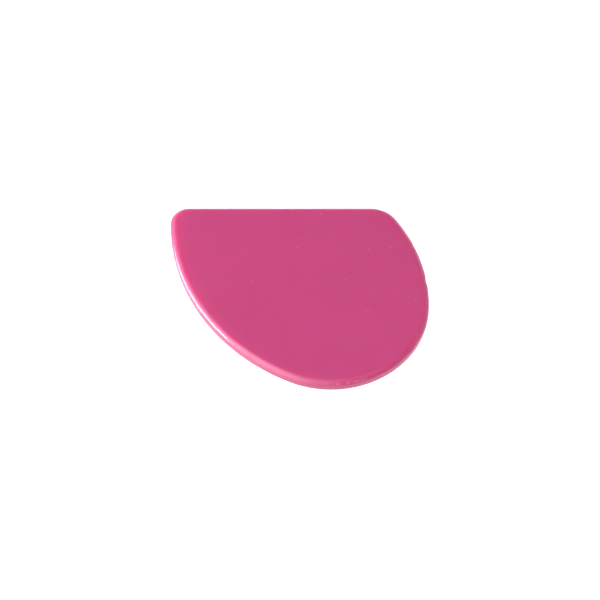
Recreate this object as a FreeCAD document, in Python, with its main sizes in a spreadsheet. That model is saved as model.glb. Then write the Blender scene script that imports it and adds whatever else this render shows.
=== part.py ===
"""Palm-sized polymer scraper: one moulded plate with a straight edge and a lopsided round nose.

Millimetres. The plate lies on its underside, with the origin under the middle of its outline:
+X runs along the straight edge towards the broad nose, +Y points at the straight edge and +Z
is up. The outline is the straight edge followed clockwise by five tangent arcs: the right
corner, the shoulder, the nose, the belly and the left corner. The shoulder meets the nose at
its widest point, and the belly meets the left corner at the leftmost point of the plate.
"""
import FreeCAD, Part
import math
import os
from FreeCAD import Vector
from Sketcher import Constraint

UP = Vector(0, 0, 1)
# The two ends and the centre of an edge, as a sketch constraint names them.
FIRST, LAST, CENTRE = 1, 2, 3
# The sketch's own origin, as a constraint names it: a vertex of the horizontal axis.
ORIGIN = (-1, FIRST)
# An edge lower than this, in millimetres, counts as level.
FLAT = 1e-4

# Alias, value and meaning of each dimension. The formulas follow from tangency.
DIMENSIONS = [
    ("plate_width", "100", "leftmost point to the widest point of the nose"),
    ("plate_depth", "83", "straight edge to the lowest point of the nose"),
    ("plate_thickness", "5.6", "underside to top face"),
    ("straight_edge", "70", "flat run of the straight edge, between its two corners"),
    ("right_corner", "12.2", "radius between the straight edge and the shoulder"),
    ("left_corner", "7.3", "radius between the belly and the straight edge"),
    ("nose", "38", "radius of the broad round end"),
    ("edge_rounding", "1.8", "fillet all round both faces"),
    ("scoop", "8", "radius of the shallow scoop where the mould gate was cut off the side"),
    ("scoop_depth", "0.35", "depth of the scoop"),
    ("scoop_angle", "9", "direction of the scoop from the shoulder's centre, in degrees above +X"),
    ("shoulder_run", "=plate_width - left_corner - straight_edge",
     "end of the straight edge to the widest point of the nose"),
    ("shoulder_drop", "=plate_depth - right_corner - nose",
     "right corner's centre down to the nose's centre"),
    ("shoulder", "=(shoulder_run^2 + shoulder_drop^2 - right_corner^2)"
     " / (2 * (shoulder_run - right_corner))", "radius of the gentle curve above the nose"),
    ("scoop_reach", "=shoulder + scoop - scoop_depth", "shoulder's centre to the scoop's centre"),
    ("scoop_x", "=plate_width / 2 - shoulder + scoop_reach * cos(scoop_angle)",
     "scoop's centre, along the width"),
    ("scoop_y", "=nose - plate_depth / 2 + scoop_reach * sin(scoop_angle)",
     "scoop's centre, along the depth"),
    ("belly_run", "=plate_width - nose", "leftmost point to the nose's centre"),
    ("belly_drop", "=plate_depth - left_corner - nose",
     "left corner's centre down to the nose's centre"),
    ("belly", "=(belly_run^2 + belly_drop^2 - nose^2) / (2 * (belly_run - nose))",
     "radius of the long working curve below"),
]


def add_sheet(doc):
    """Make the spreadsheet, one dimension to a row."""
    sheet = doc.addObject("Spreadsheet::Sheet", "Dimensions")
    for row, (alias, value, meaning) in enumerate(DIMENSIONS, start=1):
        sheet.set(f"A{row}", alias)
        sheet.set(f"B{row}", value)
        sheet.set(f"C{row}", meaning)
        sheet.setAlias(f"B{row}", alias)
    doc.recompute()
    return sheet


def add_sketch(body, name):
    """Add an empty sketch on the body's own XY plane."""
    sketch = body.newObject("Sketcher::SketchObject", name)
    plane = next(p for p in body.Origin.OriginFeatures if p.Role == "XY_Plane")
    sketch.AttachmentSupport = [(plane, "")]
    sketch.MapMode = "FlatFace"
    return sketch


def add_size(sketch, name, kind, references, expression):
    """Add a dimension that the spreadsheet drives."""
    value = sketch.evalExpression(expression)
    index = sketch.addConstraint(Constraint(kind, *references, float(value)))
    sketch.renameConstraint(index, name)
    sketch.setExpression(f"Constraints.{name}", expression)


def add_arc(sketch, centre, radius, start, end):
    """Add a counter-clockwise arc between two angles in radians, and return its index."""
    return sketch.addGeometry(Part.ArcOfCircle(Part.Circle(centre, UP, radius), start, end))


def draw_outline(sketch, sheet):
    """Draw the plate's outline: the straight edge and its five tangent arcs."""
    left, top = -sheet.plate_width / 2, sheet.plate_depth / 2
    edge_start = Vector(left + sheet.left_corner, top)
    edge_end = edge_start + Vector(sheet.straight_edge, 0)
    right_centre = edge_end - Vector(0, sheet.right_corner)
    left_centre = edge_start - Vector(0, sheet.left_corner)
    nose_centre = Vector(-left - sheet.nose, sheet.nose - top)
    shoulder_centre = nose_centre + Vector(sheet.nose - sheet.shoulder, 0)
    belly_centre = left_centre + Vector(sheet.belly - sheet.left_corner, 0)
    # Where two arcs meet, both centres lie on one line through the meeting point.
    from_shoulder = right_centre - shoulder_centre
    from_belly = nose_centre - belly_centre
    right_meets = math.atan2(from_shoulder.y, from_shoulder.x)
    belly_meets = math.atan2(from_belly.y, from_belly.x)

    edge = sketch.addGeometry(Part.LineSegment(edge_start, edge_end))
    right = add_arc(sketch, right_centre, sheet.right_corner, right_meets, math.pi / 2)
    shoulder = add_arc(sketch, shoulder_centre, sheet.shoulder, 0, right_meets)
    nose = add_arc(sketch, nose_centre, sheet.nose, belly_meets, 0)
    belly = add_arc(sketch, belly_centre, sheet.belly, math.pi, belly_meets)
    corner = add_arc(sketch, left_centre, sheet.left_corner, math.pi / 2, math.pi)

    sketch.addConstraint(Constraint("Horizontal", edge))
    sketch.addConstraint(Constraint("Tangent", edge, LAST, right, LAST))
    for upper, lower in ((right, shoulder), (shoulder, nose), (nose, belly), (belly, corner)):
        sketch.addConstraint(Constraint("Tangent", upper, FIRST, lower, LAST))
    sketch.addConstraint(Constraint("Tangent", corner, FIRST, edge, FIRST))

    radii = {"right_corner": right, "shoulder": shoulder, "nose": nose, "belly": belly,
             "left_corner": corner}
    for name, arc in radii.items():
        add_size(sketch, f"{name}_radius", "Radius", (arc,), f"<<Dimensions>>.{name}")
    add_size(sketch, "edge_length", "DistanceX", (edge, FIRST, edge, LAST),
             "<<Dimensions>>.straight_edge")
    add_size(sketch, "edge_height", "DistanceY", (*ORIGIN, edge, FIRST),
             "<<Dimensions>>.plate_depth / 2")
    add_size(sketch, "edge_start", "DistanceX", (edge, FIRST, *ORIGIN),
             "<<Dimensions>>.plate_width / 2 - <<Dimensions>>.left_corner")


def draw_scoop(sketch, sheet):
    """Draw the round cutter that takes the scoop out of the side."""
    cutter = sketch.addGeometry(Part.Circle(Vector(sheet.scoop_x, sheet.scoop_y), UP, sheet.scoop))
    add_size(sketch, "cutter_radius", "Radius", (cutter,), "<<Dimensions>>.scoop")
    add_size(sketch, "cutter_x", "DistanceX", (*ORIGIN, cutter, CENTRE), "<<Dimensions>>.scoop_x")
    add_size(sketch, "cutter_y", "DistanceY", (*ORIGIN, cutter, CENTRE), "<<Dimensions>>.scoop_y")


def rim_edges(shape):
    """Name the edges round both faces of a plain plate: all those that don't stand upright."""
    return [f"Edge{number}" for number, edge in enumerate(shape.Edges, start=1)
            if edge.BoundBox.ZLength < FLAT]


def build_plate(doc, sheet):
    """Build the one moulded piece: flat plate, rounded rims and the scoop cut after moulding."""
    body = doc.addObject("PartDesign::Body", "Plate")
    body.Label = "scraper_plate"

    outline = add_sketch(body, "Outline")
    draw_outline(outline, sheet)
    plate = body.newObject("PartDesign::Pad", "FlatPlate")
    plate.Profile = outline
    plate.setExpression("Length", "<<Dimensions>>.plate_thickness")
    doc.recompute()

    rims = body.newObject("PartDesign::Fillet", "RoundedRims")
    rims.Base = (plate, rim_edges(plate.Shape))
    rims.setExpression("Radius", "<<Dimensions>>.edge_rounding")
    doc.recompute()

    cutter = add_sketch(body, "ScoopCutter")
    draw_scoop(cutter, sheet)
    scoop = body.newObject("PartDesign::Pocket", "GateScoop")
    scoop.Profile = cutter
    scoop.Type = "ThroughAll"
    scoop.Reversed = True
    doc.recompute()
    if scoop.Shape.Volume >= rims.Shape.Volume:
        raise RuntimeError("the scoop cuts nothing")
    return body


def check(doc, body):
    """Stop if any object failed, a sketch is loose or the piece isn't one sound solid."""
    for item in doc.Objects:
        if {"Invalid", "Error"} & set(item.State):
            raise RuntimeError(f"{item.Label} failed: {item.State}")
        if item.TypeId == "Sketcher::SketchObject" and item.solve() != 0:
            raise RuntimeError(f"{item.Label} can't be solved")
    shape = body.Shape
    if shape.isNull() or not shape.isValid() or len(shape.Solids) != 1:
        raise RuntimeError(f"{body.Label} isn't one valid solid")


def main():
    doc = FreeCAD.newDocument("Scraper")
    sheet = add_sheet(doc)
    plate = build_plate(doc, sheet)
    check(doc, plate)
    os.makedirs("parts", exist_ok=True)
    plate.Shape.exportStep(os.path.join("parts", f"{plate.Label}.step"))
    box = plate.Shape.optimalBoundingBox()
    print(f"{plate.Label}: {box.XLength:.2f} x {box.YLength:.2f} x {box.ZLength:.2f} mm, "
          f"x {box.XMin:.2f} to {box.XMax:.2f}, {plate.Shape.Volume:.0f} cubic mm")


main()
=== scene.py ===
"""Looks of a palm-sized scraper: one moulded plate of glossy, slightly translucent magenta polymer.

Metres, in the CAD frame: the plate lies on its underside, +X runs along the straight edge
towards the broad nose, +Y points at the straight edge and +Z is up.
"""
import math
import bpy
from mathutils import Matrix, Vector


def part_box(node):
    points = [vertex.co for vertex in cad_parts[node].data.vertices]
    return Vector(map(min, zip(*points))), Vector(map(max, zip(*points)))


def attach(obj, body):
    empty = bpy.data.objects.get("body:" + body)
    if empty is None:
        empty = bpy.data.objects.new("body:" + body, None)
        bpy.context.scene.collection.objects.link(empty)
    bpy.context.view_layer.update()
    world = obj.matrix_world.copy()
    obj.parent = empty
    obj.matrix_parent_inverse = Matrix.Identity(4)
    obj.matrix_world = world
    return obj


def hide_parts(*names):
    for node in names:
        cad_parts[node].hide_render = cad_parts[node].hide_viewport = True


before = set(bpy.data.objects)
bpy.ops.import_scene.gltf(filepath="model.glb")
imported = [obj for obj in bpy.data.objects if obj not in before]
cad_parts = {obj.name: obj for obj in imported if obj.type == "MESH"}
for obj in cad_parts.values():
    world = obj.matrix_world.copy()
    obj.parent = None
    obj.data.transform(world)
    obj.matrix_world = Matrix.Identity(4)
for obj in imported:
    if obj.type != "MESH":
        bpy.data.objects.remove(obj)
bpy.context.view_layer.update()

PLATE_LOW, PLATE_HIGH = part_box("scraper_plate")

MM = 0.001
WIDTH, DEPTH, THICKNESS = PLATE_HIGH - PLATE_LOW
MIDDLE = (PLATE_LOW + PLATE_HIGH) / 2

# The outline's driving dimensions, which the CAD plate shares.
STRAIGHT_EDGE = 70 * MM
RIGHT_CORNER = 12.2 * MM
LEFT_CORNER = 7.3 * MM
NOSE = 38 * MM
SCOOP = 8 * MM
SCOOP_DEPTH = 0.35 * MM
SCOOP_ANGLE = math.radians(9)

# The moulded edge, finer than the CAD fillet: each face sinks a little towards its rim, rolls
# over into a narrow bevel that is almost flat, and rolls again into the upright wall.
ROLL_WIDTH = 3.0 * MM
ROLL_DROP = 0.05 * MM
UPPER_ROUNDING = 2.4 * MM
BEVEL_WIDTH = 1.0 * MM
BEVEL_STEEPEST = math.radians(42)
BEVEL_FLATTEST = math.radians(52)
LOWER_ROUNDING = 0.9 * MM

# Small faults of the moulding: the rim wavers to either side by up to half of RIM_WAVER, less
# and less further in, and both faces sink unevenly by up to FACE_SINK.
RIM_WAVER = 0.10 * MM
WAVER_SIZE = 7 * MM
WAVER_FULL = 1.8 * MM
WAVER_GONE = 4 * MM
FACE_SINK = 0.06 * MM
SINK_SIZE = 24 * MM

# Trimming marks on the upper bevel at the bottom of the nose. They fade in and out along X, and
# across the bevel between the insets where they are gone and where they are full.
MARKS_START = 8 * MM
MARKS_END = 29 * MM
MARKS_FADE = 3 * MM
MARKS_OUTER_FADE = (0.15 * MM, 0.3 * MM)
MARKS_INNER_FADE = (0.9 * MM, 0.7 * MM)
MARK_LENGTH = 2.6 * MM
MARK_CONTRAST = (0.46, 0.54)
MARK_DEPTH = 0.10 * MM
# How freshly cut the scoop looks, where the trimming marks are 1.
SCOOP_CUT = 0.2

# How finely the plate is meshed.
AROUND = 960
ARC_STEP = 0.3 * MM
ROUNDING_RINGS = 6
BEVEL_RINGS = 4
WALL_RINGS = 6
ROLL_RINGS = 6
FACE_RINGS = 20
MERGE_WITHIN = MM / 1000

# Colours are linear RGB.
MAGENTA = (0.625, 0.063, 0.240, 1.0)
BUBBLE_PINK = (0.66, 0.16, 0.32, 1.0)
# The paler pink of freshly cut polymer. On the trimming marks it is also a painted highlight for the
# bevel's bright glints.
CUT_AND_HIGHLIGHT_PINK = (0.75, 0.26, 0.44, 1.0)
WHITE = (1.0, 1.0, 1.0, 1.0)

# The polymer's patterns. Noise mostly lies between NOISE_LOW and NOISE_HIGH.
NOISE_LOW, NOISE_HIGH = 0.25, 0.75
CLOUD_SIZE = 26 * MM
CLOUD_SHADES = (0.99, 1.01)
HAZE_SIZE = 18 * MM
SKIN_ROUGHNESS = (0.28, 0.32)
CUT_ROUGHNESS = 0.25
# How far cut places turn paler: the cut polymer's own colour on the scoop, and partly a painted
# highlight on the trimming marks.
CUT_AND_HIGHLIGHT_PALENESS = 0.5
BUBBLE_SPACING = 9 * MM
BUBBLE_EDGE = (0.06, 0.03)
BUBBLE_SHARE = 0.12
BUBBLE_PALENESS = 0.7

# Relief of the surface: sizes in metres, heights and depths in millimetres.
RIPPLE_SIZE = 5 * MM
RIPPLE_HEIGHT = 0.001
GRAIN_SIZE = 0.35 * MM
GRAIN_HEIGHT = 0.05
BUBBLE_DEPTH = 0.06

# How far red, green and blue light travel inside the polymer, as shares of GLOW_DEPTH.
GLOW_REACH = (1.0, 0.13, 0.22)
GLOW_DEPTH = 8 * MM
POLYMER_IOR = 1.5


class Wiring:
    """Adds nodes to a tree. An input is a plain value or another node's output."""

    def __init__(self, tree):
        self.tree = tree

    def add(self, kind, inputs=None, **settings):
        node = self.tree.nodes.new(kind)
        for name, value in settings.items():
            setattr(node, name, value)
        for name, value in (inputs or {}).items():
            socket = node.inputs[name]
            if isinstance(value, bpy.types.NodeSocket):
                self.tree.links.new(value, socket)
            else:
                socket.default_value = value
        return node

    def math(self, operation, *values):
        return self.add("ShaderNodeMath", dict(enumerate(values)), operation=operation).outputs[0]

    def vector(self, operation, *values):
        node = self.add("ShaderNodeVectorMath", dict(enumerate(values)), operation=operation)
        return node.outputs["Value" if operation in {"DISTANCE", "DOT_PRODUCT"} else "Vector"]

    def scaled(self, vector, factor):
        node = self.add("ShaderNodeVectorMath", {0: vector, "Scale": factor}, operation="SCALE")
        return node.outputs[0]

    def ramp(self, value, start, end, low=0.0, high=1.0):
        """Ease a value from low at start to high at end, and hold it outside them."""
        inputs = {"Value": value, "From Min": start, "From Max": end, "To Min": low, "To Max": high}
        return self.add("ShaderNodeMapRange", inputs, interpolation_type="SMOOTHSTEP").outputs[0]

    def noise(self, vector, size, detail=2.0):
        """Noise between 0 and 1, whose lumps measure about size metres."""
        inputs = {"Vector": vector, "Scale": 1 / size, "Detail": detail}
        return self.add("ShaderNodeTexNoise", inputs).outputs[0]

    def colour_mix(self, factor, first, second):
        inputs = {0: factor, 6: first, 7: second}
        return self.add("ShaderNodeMix", inputs, data_type="RGBA").outputs[2]


# ---------------------------------------------------------------- outline and section

def outline_arcs():
    """The outline's five arcs, counter-clockwise from the left corner: centre, radius, angles.

    The shoulder meets the nose at its widest point, and the belly meets the left corner at the
    plate's leftmost point, so tangency fixes both of their radii.
    """
    left, right = MIDDLE.x - WIDTH / 2, MIDDLE.x + WIDTH / 2
    top, bottom = MIDDLE.y + DEPTH / 2, MIDDLE.y - DEPTH / 2
    left_centre = Vector((left + LEFT_CORNER, top - LEFT_CORNER))
    right_centre = Vector((left_centre.x + STRAIGHT_EDGE, top - RIGHT_CORNER))
    nose_centre = Vector((right - NOSE, bottom + NOSE))

    across, down = right - left_centre.x - STRAIGHT_EDGE, right_centre.y - nose_centre.y
    shoulder = (across ** 2 + down ** 2 - RIGHT_CORNER ** 2) / (2 * (across - RIGHT_CORNER))
    across, down = nose_centre.x - left, left_centre.y - nose_centre.y
    belly = (across ** 2 + down ** 2 - NOSE ** 2) / (2 * (across - NOSE))

    shoulder_centre = Vector((right - shoulder, nose_centre.y))
    belly_centre = Vector((left + belly, left_centre.y))
    to_right = right_centre - shoulder_centre
    to_nose = nose_centre - belly_centre
    right_meets = math.atan2(to_right.y, to_right.x)
    nose_meets = math.atan2(to_nose.y, to_nose.x) + math.tau
    return {
        "left_corner": (left_centre, LEFT_CORNER, math.pi / 2, math.pi),
        "belly": (belly_centre, belly, math.pi, nose_meets),
        "nose": (nose_centre, NOSE, nose_meets, math.tau),
        "shoulder": (shoulder_centre, shoulder, 0, right_meets),
        "right_corner": (right_centre, RIGHT_CORNER, right_meets, math.pi / 2),
    }


def outline_object(arcs):
    """The closed outline as a curve: arcs in fine steps, joined by the one straight edge."""
    points = []
    for centre, radius, start, end in arcs.values():
        steps = math.ceil(radius * (end - start) / ARC_STEP)
        angles = (start + (end - start) * step / steps for step in range(steps + 1))
        arc = [centre + radius * Vector((math.cos(a), math.sin(a))) for a in angles]
        points += arc if not points else arc[1:]
    curve = bpy.data.curves.new("outline", "CURVE")
    curve.dimensions = "3D"
    spline = curve.splines.new("POLY")
    spline.points.add(len(points) - 1)
    for target, point in zip(spline.points, points):
        target.co = (point.x, point.y, 0, 1)
    spline.use_cyclic_u = True
    return bpy.data.objects.new("outline", curve)


def edge_section():
    """The moulded edge as (inset, drop) points, from the top of the wall up to the face's roll.

    Both are measured from the sharp corner that the edge would have, and the surface's normal
    turns from level to nearly upright through three tangent arcs.
    """
    slope = math.atan(2 * ROLL_DROP / ROLL_WIDTH)
    turns = (
        (0, BEVEL_STEEPEST, LOWER_ROUNDING, ROUNDING_RINGS),
        (BEVEL_STEEPEST, BEVEL_FLATTEST, BEVEL_WIDTH / (BEVEL_FLATTEST - BEVEL_STEEPEST),
         BEVEL_RINGS),
        (BEVEL_FLATTEST, math.pi / 2 - slope, UPPER_ROUNDING, ROUNDING_RINGS),
    )
    inset, rise, points = 0.0, 0.0, [(0.0, 0.0)]
    for first, last, radius, steps in turns:
        for step in range(1, steps + 1):
            angle = first + (last - first) * step / steps
            points.append((inset + radius * (math.cos(first) - math.cos(angle)),
                           rise + radius * (math.sin(angle) - math.sin(first))))
        inset, rise = points[-1]
    return [(inset, rise + ROLL_DROP - height) for inset, height in points]


def section_object():
    """Half of the plate's cross-section, from the top face's middle to the underside's.

    Each vertex holds what one ring of the mesh needs: how far it lies inside the outline, how
    far it is pulled to the plate's middle (0 to 1) and its height.
    """
    half = THICKNESS / 2
    edge = [(inset, 0, half - drop) for inset, drop in reversed(edge_section())]
    inner, wall_top = edge[0][0] + ROLL_WIDTH, edge[-1][2]

    rings = [(inner, 1 - ring / FACE_RINGS, half) for ring in range(FACE_RINGS)]
    for ring in range(ROLL_RINGS):
        along = ring / ROLL_RINGS
        rings.append((inner - along * ROLL_WIDTH, 0, half - ROLL_DROP * along ** 2))
    rings += edge
    wall = [(0, 0, wall_top * (1 - 2 * ring / WALL_RINGS)) for ring in range(1, WALL_RINGS)]
    mirrored = [(inset, pull, -height) for inset, pull, height in reversed(rings)]
    mesh = bpy.data.meshes.new("section")
    mesh.from_pydata(rings + wall + mirrored, [], [])
    return bpy.data.objects.new("section", mesh)


# ---------------------------------------------------------------- the plate's mesh

def plate_tree():
    """Geometry Nodes that sweep the section round the outline and work the moulding marks in."""
    tree = bpy.data.node_groups.new("Moulded Plate", "GeometryNodeTree")
    sockets = {
        "Outline": "NodeSocketObject", "Section": "NodeSocketObject", "Around": "NodeSocketInt",
        "Rings": "NodeSocketInt", "Middle": "NodeSocketVector", "Scoop Centre": "NodeSocketVector",
        "Scoop Radius": "NodeSocketFloat", "Waver": "NodeSocketFloat", "Sink": "NodeSocketFloat",
        "Marks": "NodeSocketFloat", "Material": "NodeSocketMaterial",
    }
    tree.interface.new_socket("Geometry", in_out="OUTPUT", socket_type="NodeSocketGeometry")
    for name, socket_type in sockets.items():
        tree.interface.new_socket(name, in_out="INPUT", socket_type=socket_type)
    w = Wiring(tree)
    given = w.add("NodeGroupInput").outputs

    # A flat grid, one column for each step round the outline and one row for each ring.
    columns = w.math("ADD", given["Around"], 1)
    grid = w.add("GeometryNodeMeshGrid", {"Size X": 1.0, "Size Y": 1.0, "Vertices X": columns,
                                          "Vertices Y": given["Rings"]})
    place = w.add("ShaderNodeSeparateXYZ", {0: grid.outputs["UV Map"]}).outputs
    outline = w.add("GeometryNodeObjectInfo", {"Object": given["Outline"]}).outputs["Geometry"]
    section = w.add("GeometryNodeObjectInfo", {"Object": given["Section"]}).outputs["Geometry"]
    on_edge = w.add("GeometryNodeSampleCurve", {"Curves": outline, "Factor": place["X"]},
                    mode="FACTOR", use_all_curves=True).outputs
    ring = w.math("ROUND", w.math("MULTIPLY", place["Y"], w.math("SUBTRACT", given["Rings"], 1)))
    of_ring = w.add("GeometryNodeSampleIndex", {"Geometry": section, "Index": ring},
                    data_type="FLOAT_VECTOR", domain="POINT")
    tree.links.new(w.add("GeometryNodeInputPosition").outputs[0], of_ring.inputs["Value"])
    inset, pull, height = w.add("ShaderNodeSeparateXYZ", {0: of_ring.outputs[0]}).outputs

    # Sweep: step in from the outline, draw towards the middle, then lift to the ring's height.
    outward = w.vector("NORMALIZE", w.vector("CROSS_PRODUCT", on_edge["Tangent"], (0, 0, 1)))
    rim = w.vector("SUBTRACT", on_edge["Position"], w.scaled(outward, inset))
    to_middle = w.vector("SUBTRACT", given["Middle"], rim)
    level = w.vector("ADD", rim, w.scaled(to_middle, pull))
    level = w.vector("MULTIPLY", level, (1, 1, 0))
    lift = w.add("ShaderNodeCombineXYZ", {"Z": height}).outputs[0]
    swept = w.vector("ADD", level, w.vector("ADD", lift, (0, 0, MIDDLE.z)))

    # The gate scoop: whatever lies inside the cutter is pushed back to its round wall.
    from_cutter = w.vector("DISTANCE", level, w.vector("MULTIPLY", given["Scoop Centre"], (1, 1, 0)))
    bite = w.math("MAXIMUM", w.math("SUBTRACT", given["Scoop Radius"], from_cutter), 0.0)

    # Uneven trimming along the rim at the bottom of the nose, on the upper bevel only.
    x, y, z = w.add("ShaderNodeSeparateXYZ", {0: swept}).outputs
    along_nose = w.math("MULTIPLY", w.ramp(x, MARKS_START, MARKS_START + MARKS_FADE),
                        w.ramp(x, MARKS_END, MARKS_END - MARKS_FADE))
    on_bevel = w.math("MULTIPLY", w.ramp(inset, *MARKS_OUTER_FADE),
                      w.ramp(inset, *MARKS_INNER_FADE))
    on_bevel = w.math("MULTIPLY", on_bevel, w.math("GREATER_THAN", z, MIDDLE.z))
    on_nose = w.math("MULTIPLY", w.math("LESS_THAN", y, 0.0), along_nose)
    marked = w.math("MULTIPLY", on_nose, on_bevel)
    along = w.vector("MULTIPLY", swept, (1, 0, 0))
    chatter = w.ramp(w.noise(along, MARK_LENGTH), *MARK_CONTRAST)
    dent = w.math("MULTIPLY", w.math("MULTIPLY", marked, chatter), given["Marks"])

    # The rim wavers a little all the way round, and both faces sink unevenly.
    near_rim = w.ramp(inset, WAVER_GONE, WAVER_FULL)
    waver = w.math("SUBTRACT", w.noise(swept, WAVER_SIZE), 0.5)
    waver = w.math("MULTIPLY", waver, given["Waver"])
    inwards = w.math("ADD", bite, w.math("ADD", dent, w.math("MULTIPLY", waver, near_rim)))
    sink = w.math("MULTIPLY", w.noise(swept, SINK_SIZE, 1.0), given["Sink"])
    towards_middle = w.math("MULTIPLY", w.math("SIGN", w.math("SUBTRACT", MIDDLE.z, z)), sink)
    sunk = w.add("ShaderNodeCombineXYZ", {"Z": towards_middle}).outputs[0]
    shaped = w.vector("ADD", w.vector("SUBTRACT", swept, w.scaled(outward, inwards)), sunk)

    moved = w.add("GeometryNodeSetPosition", {"Geometry": grid.outputs["Mesh"], "Position": shaped})
    # Freshly cut polymer, for the material: the scoop and the trimming marks. On the marks their
    # paler colour is partly a painted highlight.
    scooped = w.math("MULTIPLY", w.math("GREATER_THAN", bite, 0.0), SCOOP_CUT)
    cut = w.math("MAXIMUM", scooped, w.math("MULTIPLY", marked, chatter))
    stored = w.add("GeometryNodeStoreNamedAttribute",
                   {"Geometry": moved.outputs[0], "Name": "cut", "Value": cut},
                   data_type="FLOAT", domain="POINT")
    closed = w.add("GeometryNodeMergeByDistance",
                   {"Geometry": stored.outputs[0], "Distance": MERGE_WITHIN})
    # The swept grid's faces look into the plate, so they are turned to face out of it.
    outwards = w.add("GeometryNodeFlipFaces", {"Mesh": closed.outputs[0]})
    smooth = w.add("GeometryNodeSetShadeSmooth", {"Geometry": outwards.outputs[0]})
    real = w.add("GeometryNodeRealizeInstances", {"Geometry": smooth.outputs[0]})
    finished = w.add("GeometryNodeSetMaterial",
                     {"Geometry": real.outputs[0], "Material": given["Material"]})
    w.add("NodeGroupOutput", {"Geometry": finished.outputs[0]})
    return tree


def set_inputs(modifier, values):
    """Set a Geometry Nodes modifier's inputs by name, through their identifiers."""
    for item in modifier.node_group.interface.items_tree:
        if item.in_out == "INPUT" and item.name in values:
            modifier[item.identifier] = values[item.name]


def make_plate(material):
    """Build the plate with Geometry Nodes and keep the result as a plain mesh."""
    arcs = outline_arcs()
    outline, section = outline_object(arcs), section_object()
    shoulder_centre, shoulder = arcs["shoulder"][:2]
    reach = shoulder + SCOOP - SCOOP_DEPTH
    towards = Vector((math.cos(SCOOP_ANGLE), math.sin(SCOOP_ANGLE)))
    plate = bpy.data.objects.new("moulded_plate", bpy.data.meshes.new("moulded_plate"))
    for item in (outline, section, plate):
        bpy.context.scene.collection.objects.link(item)
    modifier = plate.modifiers.new("moulding", "NODES")
    modifier.node_group = plate_tree()
    set_inputs(modifier, {
        "Outline": outline, "Section": section, "Around": AROUND,
        "Rings": len(section.data.vertices), "Middle": MIDDLE,
        "Scoop Centre": (shoulder_centre + reach * towards).to_3d(), "Scoop Radius": SCOOP,
        "Waver": RIM_WAVER, "Sink": FACE_SINK, "Marks": MARK_DEPTH, "Material": material,
    })
    depsgraph = bpy.context.evaluated_depsgraph_get()
    mesh = bpy.data.meshes.new_from_object(plate.evaluated_get(depsgraph),
                                           preserve_all_data_layers=True, depsgraph=depsgraph)
    plate.modifiers.clear()
    plate.data = mesh
    mesh.name = "moulded_plate"
    for helper in (outline, section):
        bpy.data.objects.remove(helper)
    return plate


# ---------------------------------------------------------------- the polymer

def shaded(colour, factor):
    return tuple(factor * channel for channel in colour[:3]) + (1.0,)


def polymer_material():
    """Glossy polymer, coloured through, whose edges glow where light enters them."""
    material = bpy.data.materials.new("magenta_polymer")
    material.use_nodes = True
    material.node_tree.nodes.clear()
    w = Wiring(material.node_tree)
    place = w.add("ShaderNodeTexCoord").outputs["Object"]
    cut = w.add("ShaderNodeAttribute", attribute_name="cut").outputs["Fac"]

    # Pigment: broad clouds, hardly lighter or darker than each other.
    clouds = w.ramp(w.noise(place, CLOUD_SIZE, 1.0), NOISE_LOW, NOISE_HIGH)
    cloudy = w.colour_mix(clouds, *(shaded(MAGENTA, shade) for shade in CLOUD_SHADES))

    # Small bubbles that reached the surface: a sparse scatter of shallow dimples.
    cells = w.add("ShaderNodeTexVoronoi", {"Vector": place, "Scale": 1 / BUBBLE_SPACING},
                  voronoi_dimensions="2D")
    chosen = w.add("ShaderNodeSeparateColor", {0: cells.outputs["Color"]}).outputs[0]
    bubble = w.math("MULTIPLY", w.ramp(cells.outputs["Distance"], *BUBBLE_EDGE),
                    w.math("GREATER_THAN", chosen, 1 - BUBBLE_SHARE))
    colour = w.colour_mix(w.math("MULTIPLY", bubble, BUBBLE_PALENESS), cloudy, BUBBLE_PINK)
    # Paler where cut: the cut polymer's own colour, and on the trimming marks partly a painted
    # highlight.
    colour = w.colour_mix(w.math("MULTIPLY", cut, CUT_AND_HIGHLIGHT_PALENESS), colour, CUT_AND_HIGHLIGHT_PINK)

    # Gloss: clean moulded skin with a faint uneven haze, and matt where it was cut.
    haze = w.ramp(w.noise(place, HAZE_SIZE, 1.0), NOISE_LOW, NOISE_HIGH, *SKIN_ROUGHNESS)
    roughness = w.math("ADD", haze, w.math("MULTIPLY", cut, CUT_ROUGHNESS))

    # Relief: the mould's faint ripple, the cut's grain and the bubbles' dimples.
    ripple = w.math("MULTIPLY", w.noise(place, RIPPLE_SIZE, 1.0), RIPPLE_HEIGHT)
    grain = w.math("MULTIPLY", w.math("MULTIPLY", w.noise(place, GRAIN_SIZE), cut), GRAIN_HEIGHT)
    dimple = w.math("MULTIPLY", bubble, BUBBLE_DEPTH)
    height = w.math("SUBTRACT", w.math("ADD", ripple, grain), dimple)
    relief = w.add("ShaderNodeBump", {"Height": height, "Distance": MM, "Strength": 1.0})

    shader = w.add("ShaderNodeBsdfPrincipled", {
        "Base Color": colour, "Roughness": roughness, "Normal": relief.outputs[0],
        "IOR": POLYMER_IOR, "Subsurface Weight": 1.0, "Subsurface Radius": GLOW_REACH,
        "Subsurface Scale": GLOW_DEPTH, "Coat Weight": 0.5, "Coat Roughness": 0.02,
        "Coat IOR": POLYMER_IOR,
    })
    w.add("ShaderNodeOutputMaterial", {"Surface": shader.outputs[0]})
    return material


# ---------------------------------------------------------------- floor, light and camera

FLOOR_RADIUS = 4.0
CAMERA_ELEVATION = math.radians(56)
# How far the camera aims off the plate's middle, to its right and upwards.
AIM = (0.12 * MM, -0.5 * MM)
LENS = 1000.0
SENSOR = 36.0
# How wide the picture is at the plate.
FIELD = 232.0 * MM

FLOOR_GREY = (0.82, 0.82, 0.82, 1.0)
FLOOR_GLOW = 0.9
FLOOR_GLOW_MIRRORED = 0.6

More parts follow.
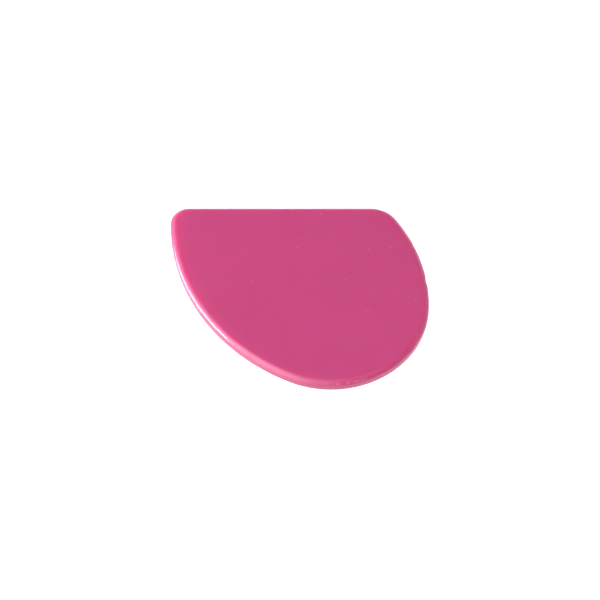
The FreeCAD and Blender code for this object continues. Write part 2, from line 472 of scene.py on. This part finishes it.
# The room's brightness falls from the horizon up to where a direction's Z reaches ROOM_TOP.
ROOM_TOP = 0.8
ROOM_AT_HORIZON, ROOM_OVERHEAD = 0.8, 0.3
ROOM_AS_LAMP = 0.85
# Two banks of light: direction in degrees, as direction() takes it, tightness and strength.
LEFT_BANK = ((205, 30), 3.4, 0.35)
UPPER_BANK = ((300, 78), 8.0, 2.2)
LEFT_BANK_MIRRORED = 13.5
STRIP_START, STRIP_END = (157, 2), (198, 24)
STRIP_DISTANCE, STRIP_BREADTH, STRIP_RADIANCE = 0.7, 0.175, 12.5


def floor_material():
    """Pale diffuse floor that also glows: to the camera in full, and less in reflections."""
    material = bpy.data.materials.new("pale_floor")
    material.use_nodes = True
    material.node_tree.nodes.clear()
    w = Wiring(material.node_tree)
    matt = w.add("ShaderNodeBsdfDiffuse", {"Color": FLOOR_GREY})
    glow = w.add("ShaderNodeEmission", {"Color": WHITE, "Strength": FLOOR_GLOW})
    both = w.add("ShaderNodeAddShader", {0: matt.outputs[0], 1: glow.outputs[0]})
    path = w.add("ShaderNodeLightPath").outputs
    mirrored = w.math("MULTIPLY", path["Is Glossy Ray"], FLOOR_GLOW_MIRRORED)
    seen = w.math("ADD", path["Is Camera Ray"], mirrored)
    mixed = w.add("ShaderNodeMixShader", {0: seen, 1: matt.outputs[0], 2: both.outputs[0]})
    w.add("ShaderNodeOutputMaterial", {"Surface": mixed.outputs[0]})
    return material


def make_floor():
    bpy.ops.mesh.primitive_circle_add(vertices=96, radius=FLOOR_RADIUS, fill_type="NGON",
                                      location=(0, 0, PLATE_LOW.z))
    floor = bpy.context.object
    floor.name = "floor"
    floor.data.materials.append(floor_material())


def direction(azimuth, elevation):
    """Unit vector, from degrees round from +X and degrees up from the floor."""
    turn, rise = math.radians(azimuth), math.radians(elevation)
    return Vector((math.cos(turn) * math.cos(rise), math.sin(turn) * math.cos(rise),
                   math.sin(rise)))


def add_strip(name, start, end, distance, breadth, radiance):
    """A strip softbox between two directions, facing the plate, radiance bright all over."""
    ends = [distance * direction(*corner) for corner in (start, end)]
    middle, along = (ends[0] + ends[1]) / 2, (ends[1] - ends[0]).normalized()
    facing = middle.normalized()
    across = facing.cross(along).normalized()
    light = bpy.data.lights.new(name, "AREA")
    light.shape = "RECTANGLE"
    light.size, light.size_y = (ends[1] - ends[0]).length, breadth
    light.energy = radiance * math.pi * light.size * light.size_y
    lamp = bpy.data.objects.new(name, light)
    # The lamp's own axes: X along the strip, Y across it, and it shines along -Z.
    lamp.matrix_world = Matrix((along, across, along.cross(across))).transposed().to_4x4()
    lamp.location = middle
    lamp.visible_camera = False
    bpy.context.scene.collection.objects.link(lamp)


def lobe(w, towards, centre, tightness, strength):
    """A soft patch of light in the world, strongest in the direction centre, in degrees."""
    facing = w.vector("DOT_PRODUCT", towards, direction(*centre))
    facing = w.math("MAXIMUM", facing, 0.0)
    return w.math("MULTIPLY", w.math("POWER", facing, tightness), strength)


def studio_world():
    """White to the camera; to the plate, a pale room with soft light from above and the left."""
    world = bpy.data.worlds.new("studio")
    world.use_nodes = True
    world.node_tree.nodes.clear()
    w = Wiring(world.node_tree)
    towards = w.vector("NORMALIZE", w.add("ShaderNodeTexCoord").outputs["Generated"])
    up = w.add("ShaderNodeSeparateXYZ", {0: towards}).outputs["Z"]
    room = w.ramp(up, 0.0, ROOM_TOP, ROOM_AT_HORIZON, ROOM_OVERHEAD)
    left = lobe(w, towards, *LEFT_BANK)
    above = lobe(w, towards, *UPPER_BANK)
    # The left bank is far brighter as a reflection than as a lamp, and the room a little
    # brighter. The upper bank only lights.
    path = w.add("ShaderNodeLightPath").outputs
    lamps = w.math("ADD", w.math("MULTIPLY", room, ROOM_AS_LAMP), w.math("ADD", left, above))
    mirrored = w.math("ADD", room, w.math("MULTIPLY", left, LEFT_BANK_MIRRORED))
    glossy = w.math("MULTIPLY", path["Is Glossy Ray"], w.math("SUBTRACT", mirrored, lamps))
    lit = w.math("ADD", lamps, glossy)
    unseen = w.add("ShaderNodeBackground", {"Color": WHITE, "Strength": lit})
    seen = w.add("ShaderNodeBackground", {"Color": WHITE, "Strength": 1.0})
    mixed = w.add("ShaderNodeMixShader", {0: path["Is Camera Ray"], 1: unseen.outputs[0],
                                          2: seen.outputs[0]})
    w.add("ShaderNodeOutputWorld", {"Surface": mixed.outputs[0]})
    bpy.context.scene.world = world


def make_camera():
    camera = bpy.data.cameras.new("camera")
    camera.lens = LENS
    camera.sensor_width = SENSOR
    camera.clip_end = 2 * FLOOR_RADIUS
    holder = bpy.data.objects.new("camera", camera)
    away = Vector((0, -math.cos(CAMERA_ELEVATION), math.sin(CAMERA_ELEVATION)))
    up = Vector((0, math.sin(CAMERA_ELEVATION), math.cos(CAMERA_ELEVATION)))
    aimed_at = MIDDLE + Vector((AIM[0], 0, 0)) + AIM[1] * up
    holder.location = aimed_at + away * FIELD * LENS / SENSOR
    holder.rotation_euler = (math.pi / 2 - CAMERA_ELEVATION, 0, 0)
    bpy.context.scene.collection.objects.link(holder)
    bpy.context.scene.camera = holder


# ---------------------------------------------------------------- the scene

plate = make_plate(polymer_material())
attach(plate, "root")
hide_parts("scraper_plate")

make_floor()
studio_world()
add_strip("left_strip", STRIP_START, STRIP_END, STRIP_DISTANCE, STRIP_BREADTH, STRIP_RADIANCE)
make_camera()
bpy.context.scene.view_settings.view_transform = "Standard"
